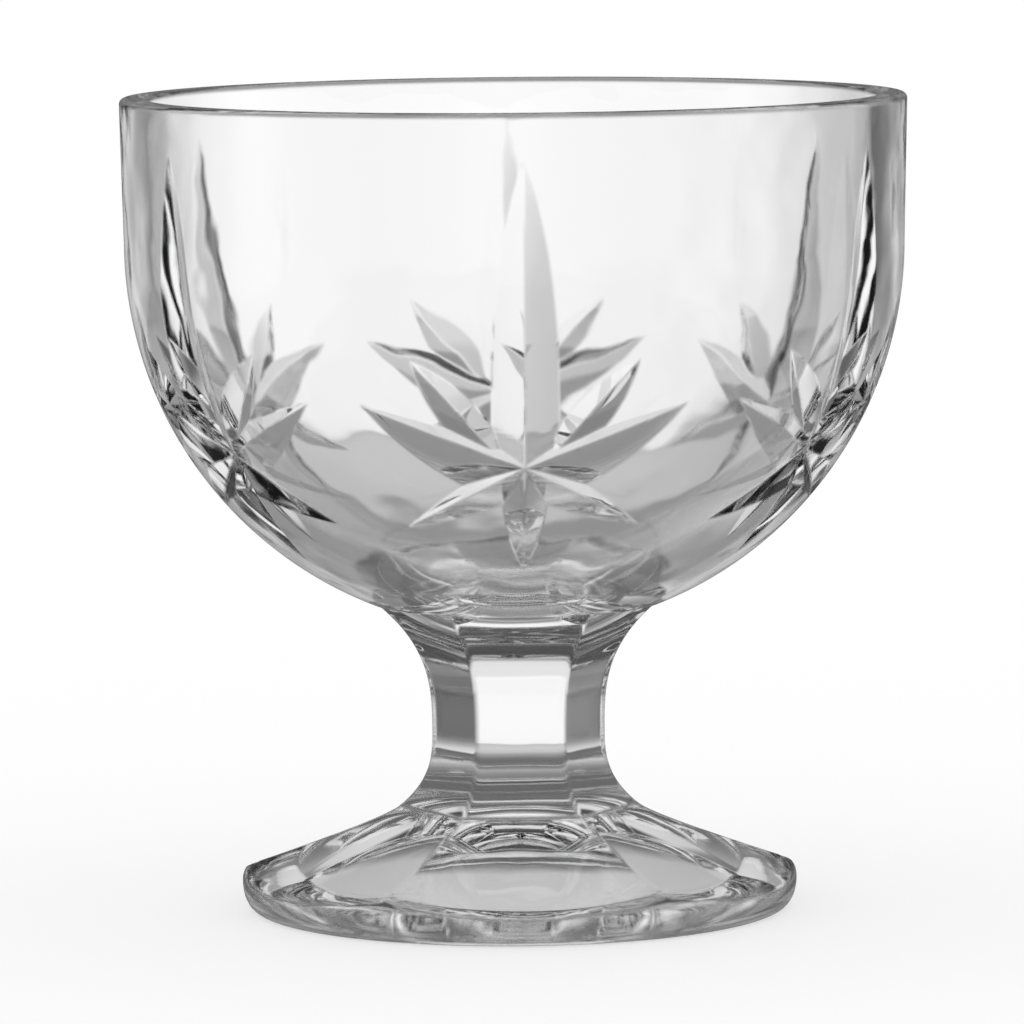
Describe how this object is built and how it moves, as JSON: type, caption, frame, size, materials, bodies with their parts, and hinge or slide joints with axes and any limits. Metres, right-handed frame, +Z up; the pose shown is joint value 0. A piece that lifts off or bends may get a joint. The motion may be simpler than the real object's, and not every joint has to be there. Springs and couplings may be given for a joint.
{
  "type": "footed dessert bowl",
  "caption": "Footed dessert bowl in clear pressed glass: half-ball cup with cut star figures, waisted six-sided stem and panelled bell foot.",
  "frame": {"origin": "on the table, under the centre of the foot", "axes": "+Z up along the axis of the bowl, stem and foot; -Y towards the viewer, through the middle of a star and of a flat side of the stem"},
  "size_m": [0.1, 0.1, 0.104],
  "materials": {
    "glass": "clear, fire-polished"
  },
  "bodies": {
    "root": {"bowl": "glass", "stem": "glass", "foot": "glass"}
  },
  "joints": []
}
